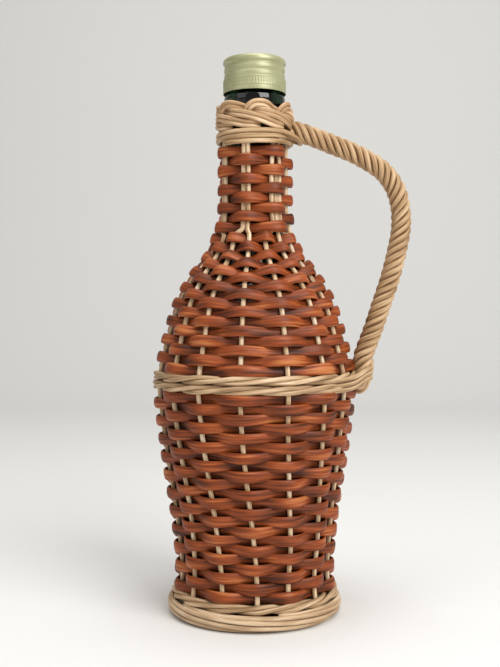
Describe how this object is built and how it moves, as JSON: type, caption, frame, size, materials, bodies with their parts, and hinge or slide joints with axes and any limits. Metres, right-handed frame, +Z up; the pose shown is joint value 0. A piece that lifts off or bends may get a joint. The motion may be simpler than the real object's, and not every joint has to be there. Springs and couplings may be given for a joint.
{
  "type": "wicker-covered glass bottle with handle",
  "caption": "Glass bottle in a woven cane jacket with a roped cane handle, a plaited collar and a metal screw cap.",
  "frame": {"origin": "on the bottle's axis, in the flat of the foot hoop that it stands on", "axes": "+Z up along the bottle's axis, +X towards the handle, -Y towards the side that the picture shows"},
  "size_m": [0.1302, 0.1026, 0.2767],
  "materials": {
    "bottle_glass": "gloss",
    "cap_lacquer": "satin",
    "liner": "matt",
    "stake_cane": "matt",
    "foot_cane": "satin",
    "band_cane": "satin",
    "stained_weaver": "satin",
    "handle_cane": "satin",
    "handle_core_cane": "satin"
  },
  "bodies": {
    "bottle": {"glass_bottle": "bottle_glass", "stake_cane_1": "stake_cane", "stake_cane_2": "stake_cane", "stake_cane_3": "stake_cane", "stake_cane_4": "stake_cane", "stake_cane_5": "stake_cane", "stake_cane_6": "stake_cane", "stake_cane_7": "stake_cane", "stake_cane_8": "stake_cane", "foot_border_1": "foot_cane", "foot_border_2": "foot_cane", "foot_border_3": "foot_cane", "foot_border_4": "foot_cane", "foot_border_5": "foot_cane", "foot_hoop": "foot_cane", "foot_wale_1": "band_cane", "foot_wale_2": "band_cane", "foot_wale_3": "band_cane", "belly_wale_1": "band_cane", "belly_wale_2": "band_cane", "belly_wale_3": "band_cane", "lower_weaver": "stained_weaver", "shoulder_weaver": "stained_weaver", "neck_weaver": "stained_weaver", "base_weaver": "stained_weaver", "handle_strand_1": "handle_cane", "handle_strand_2": "handle_cane", "handle_strand_3": "handle_cane", "handle_strand_4": "handle_cane", "handle_strand_5": "handle_cane", "neck_lashing": "handle_cane", "belly_lashing": "handle_cane", "handle_core": "handle_core_cane"},
    "liner": {"cap_liner": "liner"},
    "cap": {"screw_cap": "cap_lacquer"}
  },
  "joints": [
    {"name": "cap_lift", "type": "slide", "parent": "bottle", "child": "liner", "axis": [0, 0, 1], "range_m": [0, 0.0191]},
    {"name": "cap_turn", "type": "hinge", "parent": "liner", "child": "cap", "pos_m": [0, 0, 0.268], "axis": [0, 0, 1], "range_deg": [0, 1719]}
  ],
  "couplings": [
    {"joint": "cap_lift", "follows": "cap_turn", "m_per_rad": 0.00063662}
  ]
}
